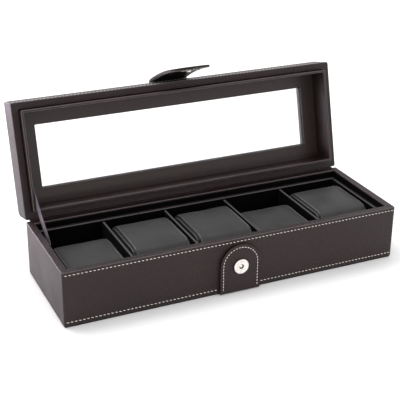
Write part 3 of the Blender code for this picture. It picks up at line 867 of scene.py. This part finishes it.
def make_lid_skin():
    rim = shut_box("lid_left_cover")[0].z
    pane_top = shut_box("window_pane")[1].z
    r = RIM_ROUNDING
    fold = rim + FOLD_DEPTH
    loops = [inset_loop(WALL - SKIN, fold, 0.3 * MM), inset_loop(WALL, fold, 0.3 * MM)]
    for sine, cosine in quarter_turn(5):
        loops.append(inset_loop(WALL - r * (1 - cosine), rim + r * (1 - sine), 0.4 * MM))
    for sine, cosine in quarter_turn(5):
        loops.append(inset_loop(r * (1 - sine), rim + r * (1 - cosine), CORNER))
    bend = LID_TOP - BACK_RADIUS
    loops.append(lid_loop((rim + r + bend) / 2, 0))
    heights = [bend + BACK_RADIUS * sine for sine, _ in quarter_turn(12)]
    loops += [lid_loop(z, 0) for z in heights]
    edge = 0.8 * MM
    for sine, cosine in quarter_turn(4):
        loops.append(window_loop(edge * (1 - sine) - REVEAL, LID_TOP - edge * (1 - cosine)))
    loops.append(window_loop(-REVEAL, pane_top + 0.3 * MM))
    loops.append(window_loop(0, pane_top + 0.3 * MM))
    loops.append(window_loop(0, LID_TOP - SKIN))
    inner_heights = [bend + (BACK_RADIUS - SKIN) * sine for sine, _ in quarter_turn(8)]
    loops += [lid_loop(z, SKIN, CORNER - SKIN) for z in reversed(inner_heights)]
    loops.append(lid_loop(rim + SKIN, SKIN, CORNER - SKIN))
    loops.append(inset_loop(WALL - SKIN, rim + SKIN, 0.3 * MM))
    mesh = loft("lid_leatherette", loops, ring=True)
    # Painted highlight: the outer rounding of the lid's rim, facing down with the lid shut, gets the paler
    # highlight leatherette.
    highlight_faces = faces_where(mesh, lambda spot, normal: spot.z < rim + r and -0.95 < normal.z < -0.45)
    skin = piece(
        mesh, LEATHERETTE, "lid",
        ("lid_wrap", "lid_left_cover", "lid_right_cover"), turned_by=OPEN,
    )
    second_material(skin, highlight_faces, LEATHER_HIGHLIGHT)
    return rim


def make_lip():
    low, high = shut_box("lip_front")[0], shut_box("lip_back")[1]
    outer = HALF_L - high.x
    thick = 2.4 * MM
    r = 0.9 * MM
    loops = []
    for sine, cosine in quarter_turn(4):
        loops.append(inset_loop(outer + r * (1 - cosine), low.z + r * (1 - sine), 1.6 * MM))
    for sine, cosine in quarter_turn(4):
        loops.append(inset_loop(outer + thick - r * (1 - sine), low.z + r * (1 - cosine), 0.6 * MM))
    loops.append(inset_loop(outer + thick, high.z, 0.6 * MM))
    loops.append(inset_loop(outer, high.z, 1.6 * MM))
    mesh = loft("lid_lip", loops, ring=True)
    # Painted highlight: the lip's lower rounding gets the paler highlight leatherette.
    highlight_faces = faces_where(mesh, lambda spot, normal: -0.95 < normal.z < -0.45)
    lip = piece(
        mesh, LINING, "lid", ("lip_front", "lip_back", "lip_left", "lip_right"), turned_by=OPEN
    )
    second_material(lip, highlight_faces, LEATHER_HIGHLIGHT)


def make_lid_stitches(rim):
    front = Vector((0, -1, 0))
    edge = HALF_L - 1.5 * MM
    for name, z in (("stitches_lid_rim", rim + 3.0 * MM), ("stitches_lid_edge", LID_TOP - 3.6 * MM)):
        path = straight(Vector((-edge, -HALF_W, z)), Vector((edge, -HALF_W, z)))
        mesh = thread_row(name, path, lambda point: front, 3.65 * MM)
        piece(mesh, THREAD, "lid", turned_by=OPEN)


# ---------------------------------------------------------------- strap and hinge

STRAP_HALF = 20 * MM
STRAP_HALF_THICK = 1.15 * MM  # half the strap's thickness
STRAP_ROOT_Y = -30.25 * MM
STRAP_FLAT_END_Y = -53.4 * MM  # where the strap starts to bend over the lid's front edge
STRAP_CURVE = 2.2 * MM  # strap length that the bend takes up
STUD_Y = -61.35 * MM  # the strap's middle at the snap, with the lid shut


def strap_line():
    """The strap's middle line with the lid shut, as (y, z), from its root to the snap, and on to its tip."""
    flat = STRAP_FLAT_END_Y - STRAP_ROOT_Y
    points = [Vector((0, STRAP_ROOT_Y + flat * i / 8, STRAP_AXIS.z)) for i in range(9)]
    lift = turn_about(STRAP_AXIS, math.degrees(STRAP_LIFT))

    def hanging(along):
        angle = STRAP_SLANT * max(0.0, 1 - along / STRAP_RUN)
        y = -(math.cos(angle) - math.cos(STRAP_SLANT)) * STRAP_RUN / STRAP_SLANT
        z = -(math.sin(STRAP_SLANT) - math.sin(angle)) * STRAP_RUN / STRAP_SLANT - max(0.0, along - STRAP_RUN)
        return lift @ (STRAP_AXIS + Vector((0, y, z)))

    first, last = points[-1], hanging(STRAP_CURVE)
    for i in range(1, 8):
        t = i / 8
        points.append(first * (1 - t) ** 2 + STRAP_AXIS * 2 * t * (1 - t) + last * t * t)
    straight_part = [STRAP_CURVE + (STRAP_RUN - STRAP_CURVE) * i / 24 for i in range(25)]
    tip = [STRAP_RUN + STRAP_HALF * math.sin(math.radians(a)) for a in range(6, 91, 6)]
    return points + [hanging(along) for along in straight_part + tip], len(tip)


def strap_sections():
    """For each station of the strap: its place, its outward direction and its half width."""
    points, tip = strap_line()
    made = []
    for i, point in enumerate(points):
        before, after = points[max(0, i - 1)], points[min(len(points) - 1, i + 1)]
        along = (after - before).normalized()
        out = Vector((0, -along.z, along.y))
        if i > len(points) - 1 - tip:
            angle = math.radians(6 * (i - (len(points) - 1 - tip)))
            width = max(0.6 * MM, STRAP_HALF * math.cos(angle))
        else:
            width = STRAP_HALF
        made.append((point, -out, width))
    return made


def strap_layer(name, near, far, inset, material, replaces):
    """One layer of the strap, between two distances outward from its middle, thinner at its sewn edge."""
    across = ((0.0, 0.5), (0.12, 0.85), (0.5, 1.0), (2.3, 1.0), (3.0, 0.86), (3.7, 1.0), (8.0, 1.0))
    loops = []
    for point, out, width in strap_sections():
        width -= inset
        scale = min(1.0, width / (9 * MM))
        low = [(-width + a * MM * scale, near + (far - near) * (1 - h)) for a, h in across]
        high = [(-width + a * MM * scale, near + (far - near) * h) for a, h in across]
        outline = high + [(-u, v) for u, v in reversed(high)] + [(-u, v) for u, v in low[1:]]
        outline += [(u, v) for u, v in reversed(low[1:])]
        loops.append([point + Vector((u, 0, 0)) + out * v for u, v in outline])
    obj = piece(loft(name, loops), material, None, replaces, turned_by=OPEN)
    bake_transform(obj)
    return obj


def strap_stitches(name, distance, facing):
    """Thread round the strap's edge, on its outer face (facing 1) or its lining (facing -1)."""
    sections = strap_sections()
    inset = 3.0 * MM
    left, right = [], []
    for point, out, width in sections:
        reach = width - inset
        if reach <= 0:
            continue
        left.append(point + Vector((-reach, 0, 0)) + out * distance)
        right.append(point + Vector((reach, 0, 0)) + out * distance)
    path = left + list(reversed(right))
    places = [(point, out) for point, out, _ in sections]

    def normal_of(spot):
        return min(places, key=lambda pair: (pair[0].yz - spot.yz).length)[1] * facing

    mesh = thread_row(name, path, normal_of, 3.2 * MM, width=0.62 * MM)
    obj = piece(mesh, THREAD, None, turned_by=OPEN)
    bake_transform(obj)


def make_strap():
    half = STRAP_HALF_THICK
    strap_layer("strap_face", 0, half, 0, LEATHERETTE, ("strap_leather", "strap_root"))
    strap_layer("strap_underside", -half, -0.15 * MM, 0.4 * MM, STRAP_LINING, ("strap_lining",))
    strap_stitches("stitches_strap_face", half - 0.08 * MM, 1)
    strap_stitches("stitches_strap_underside", -half + 0.06 * MM, -1)
    make_stud()


def make_stud():
    """The snap's stud under the strap's tip."""
    lift = turn_about(STRAP_AXIS, math.degrees(STRAP_LIFT))
    plate, rim = 0.6 * MM, 7.5 * MM
    tip = 1.8 * MM
    raised = plate + 0.12 * MM
    profile = [(0.05 * MM, 0.0), (rim - 0.2 * MM, 0.0)]
    profile += fillet((rim - 0.3 * MM, plate - 0.3 * MM), 0.3 * MM, 0, 90, 3)
    profile += [(3.4 * MM, plate), (3.1 * MM, raised), (2.4 * MM, raised), (2.0 * MM, plate + 0.3 * MM)]
    profile += fillet((1.5 * MM, tip - 0.5 * MM), 0.5 * MM, 0, 90, 4) + [(0.05 * MM, tip)]
    mesh = lathe("snap_post", profile, Vector((0, 0, 0)), sharp=50)
    mesh.transform(Matrix.Rotation(math.pi, 4, "Z"))
    face = STUD_Y + STRAP_HALF_THICK + 0.3 * MM
    mesh.transform(Matrix.Translation((0, face, SNAP_Z)))
    mesh.transform(lift)
    piece(mesh, NICKEL, "strap", ("snap_stud",), turned_by=OPEN)


def make_hinge():
    """A leatherette strip down the back that bends at the hinge line."""
    low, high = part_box("hinge_leaf_base")
    half = (high.y - low.y) / 2
    reach = 16 * MM
    middle_y = (low.y + high.y) / 2
    bend = 0.9 * MM
    angle = math.radians(-joints["lid_hinge"]["range_deg"][0])
    lead = bend * math.tan(angle / 2)
    line = [Vector((0, middle_y, HINGE.z - reach + (reach - lead) * i / 8)) for i in range(9)]
    centre = Vector((0, middle_y + bend, HINGE.z - lead))
    for i in range(1, 9):
        a = math.pi - angle * i / 8
        line.append(centre + Vector((0, math.cos(a), math.sin(a))) * bend)
    onward = Vector((0, math.sin(angle), math.cos(angle)))
    line += [line[-1] + onward * (reach - lead) * i / 8 for i in range(1, 9)]
    loops = []
    for i, point in enumerate(line):
        along = (line[min(i + 1, len(line) - 1)] - line[max(i - 1, 0)]).normalized()
        out = Vector((0, along.z, -along.y))
        end = i in (0, len(line) - 1)
        thick = half * (0.55 if end else 1.0)
        width = high.x - (0.4 * MM if end else 0.0)
        outline = [(-width, 0.5), (-width + 0.4 * MM, 1.0), (width - 0.4 * MM, 1.0), (width, 0.5)]
        outline += [(width, -0.5), (width - 0.4 * MM, -1.0), (-width + 0.4 * MM, -1.0), (-width, -0.5)]
        loops.append([point + Vector((u, 0, 0)) + out * v * thick for u, v in outline])
    mesh = loft("hinge_strip", loops, sharp=50)
    obj = piece(mesh, LEATHERETTE, None, ("hinge_leaf_base", "hinge_leaf_lid"))
    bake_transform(obj)


def make_ribbon():
    """The satin stay, taut between the insert's left side and the lid's left lip."""
    node_mesh = frame["nodes"]["ribbon_stay"].data
    low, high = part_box("ribbon_stay")
    x = (low.x + high.x) / 2
    points = [vert.co for vert in node_mesh.vertices]
    bottom = sorted(points, key=lambda point: point.z)[: len(points) // 2]
    top = sorted(points, key=lambda point: point.z)[len(points) // 2:]
    foot = sum(bottom, Vector()) / len(bottom)
    head = sum(top, Vector()) / len(top)
    foot.x = head.x = x
    along = (head - foot).normalized()
    across = Vector((0, along.z, -along.y))
    length = (head - foot).length
    steps, half = 48, 5 * MM
    loops = []
    for i in range(steps + 1):
        t = i / steps
        spot = foot + along * length * t
        spot.x += 0.12 * MM * math.sin(math.pi * t * 3)
        thick = 0.16 * MM
        outline = [(-half, -thick), (-half, thick), (-half * 0.5, thick)]
        outline += [(0, thick * 0.7), (half * 0.5, thick), (half, thick)]
        outline += [(half, -thick), (half * 0.5, -thick), (0, -thick * 0.7), (-half * 0.5, -thick)]
        loops.append([spot + across * u + Vector((v, 0, 0)) for u, v in outline])
    mesh = loft("stay_ribbon", loops, sharp=50)
    obj = piece(mesh, SATIN, None, ("ribbon_stay",))
    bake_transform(obj)


# ---------------------------------------------------------------- studio


def make_studio():
    bm = bmesh.new()
    bmesh.ops.create_grid(bm, x_segments=2, y_segments=2, size=6)
    mesh = bpy.data.meshes.new("studio_floor")
    bm.to_mesh(mesh)
    bm.free()
    mesh.materials.append(make_floor_material())
    floor = bpy.data.objects.new("studio_floor", mesh)
    scene.collection.objects.link(floor)
    floor.location.z = -0.05 * MM

    world = scene.world or bpy.data.worlds.new("studio")
    scene.world = world
    world.use_nodes = True
    background = world.node_tree.nodes["Background"]
    background.inputs["Color"].default_value = (1, 1, 1, 1)
    background.inputs["Strength"].default_value = 1.0
    lights = {
        "overhead": ((-0.25, 0.40, 1.35), (0, 0.05, 0.05), 0.7, 9.0, (1, 1, 1)),
        "left_low": ((-1.25, 0.95, 0.20), (-0.1, 0, 0.08), 0.8, 8.0, (1, 0.84, 1)),
        "left_back": ((-0.75, 1.45, 0.26), (-0.16, 0.07, 0.10), 0.5, 15.0, (1, 0.84, 1)),
        "front_low": ((0.08, -1.40, 0.05), (-0.05, 0.05, 0.06), 0.3, 3.0, (1, 0.93, 0.94)),
        "front_right": ((1.3, -1.3, 0.6), (0.1, 0, 0.05), 0.9, 6.0, (1, 0.95, 1)),
    }
    for name, (spot, target, size, power, colour) in lights.items():
        data = bpy.data.lights.new(name, "AREA")
        data.shape = "SQUARE"
        data.size = size
        data.energy = power
        data.color = colour
        lamp = bpy.data.objects.new(name, data)
        scene.collection.objects.link(lamp)
        lamp.location = spot
        lamp.rotation_mode = "QUATERNION"
        lamp.rotation_quaternion = (Vector(target) - Vector(spot)).to_track_quat("-Z", "Y")
    scene.view_settings.view_transform = "Standard"
    scene.view_settings.look = "None"


def make_camera():
    data = bpy.data.cameras.new("camera")
    data.sensor_width = 36
    data.lens = 90.45
    data.clip_start, data.clip_end = 0.01, 50
    camera = bpy.data.objects.new("camera", data)
    scene.collection.objects.link(camera)
    azimuth, elevation, roll = math.radians(-24.72), math.radians(24.48), math.radians(0.526)
    back = Vector((
        math.sin(azimuth) * math.cos(elevation), -math.cos(azimuth) * math.cos(elevation), math.sin(elevation)
    ))
    camera.location = Vector((-366.83, -764.86, 453.70)) * MM
    right = Vector((0, 0, 1)).cross(back).normalized()
    up = back.cross(right)
    turned_right = right * math.cos(roll) + up * math.sin(roll)
    turned_up = up * math.cos(roll) - right * math.sin(roll)
    camera.rotation_mode = "QUATERNION"
    camera.rotation_quaternion = Matrix((turned_right, turned_up, back)).transposed().to_quaternion()
    scene.camera = camera


make_camera()
make_base_skin()
make_wall_velvet()
make_base_stitches()
make_tongue()
make_snap()
make_insert()
for number in range(1, 6):
    make_cushion(number)
lid_rim = make_lid_skin()
make_lip()
make_lid_stitches(lid_rim)
make_strap()
make_hinge()
make_ribbon()

for board in [name for name in frame["nodes"] if name.endswith("_board")]:
    dressed(board, FIBREBOARD)
dressed("lid_top_board", STAINED)  # its window edge shows through the pane
dressed("bottom_felt", FELT)
dressed("lid_inner_panel", LINING)
bevelled("lid_inner_panel", 0.6 * MM)
dressed("window_pane", GLASS)

make_studio()
